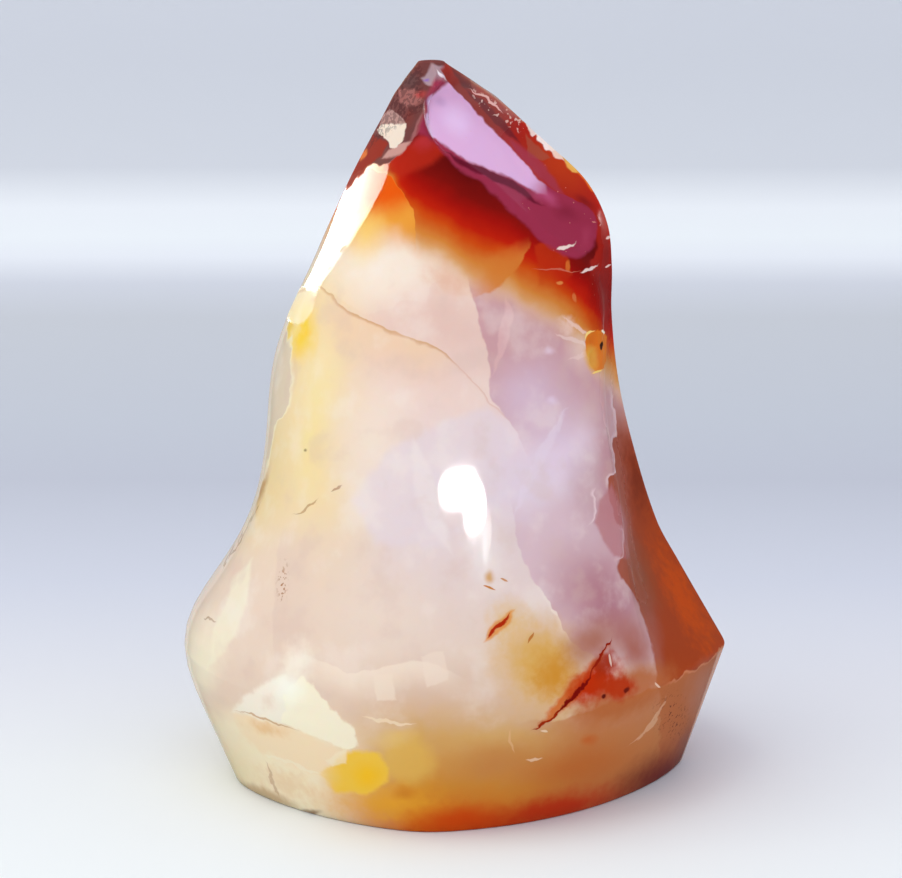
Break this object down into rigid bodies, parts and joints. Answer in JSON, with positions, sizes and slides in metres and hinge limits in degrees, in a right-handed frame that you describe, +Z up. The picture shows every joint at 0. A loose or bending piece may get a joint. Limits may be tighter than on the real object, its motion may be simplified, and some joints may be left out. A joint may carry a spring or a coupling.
{
  "type": "carnelian flame carving",
  "caption": "Polished chalcedony free-form on a flat base: a foot band flares to a belly ring, then four ridges twist up to a blunt tip like a flame.",
  "frame": {"origin": "the middle of the flat base, on the surface that the stone stands on", "axes": "+Z up towards the tip, -Y towards the viewer who sees the broad bowed face under the red cap, +X to that viewer's right"},
  "size_m": [0.0746, 0.0646, 0.0998],
  "materials": {
    "chalcedony": "mirror-polished milky chalcedony: carnelian red cap, peach and lilac body, yellow and orange foot"
  },
  "bodies": {
    "root": {"flame_carving": "chalcedony"}
  },
  "joints": []
}
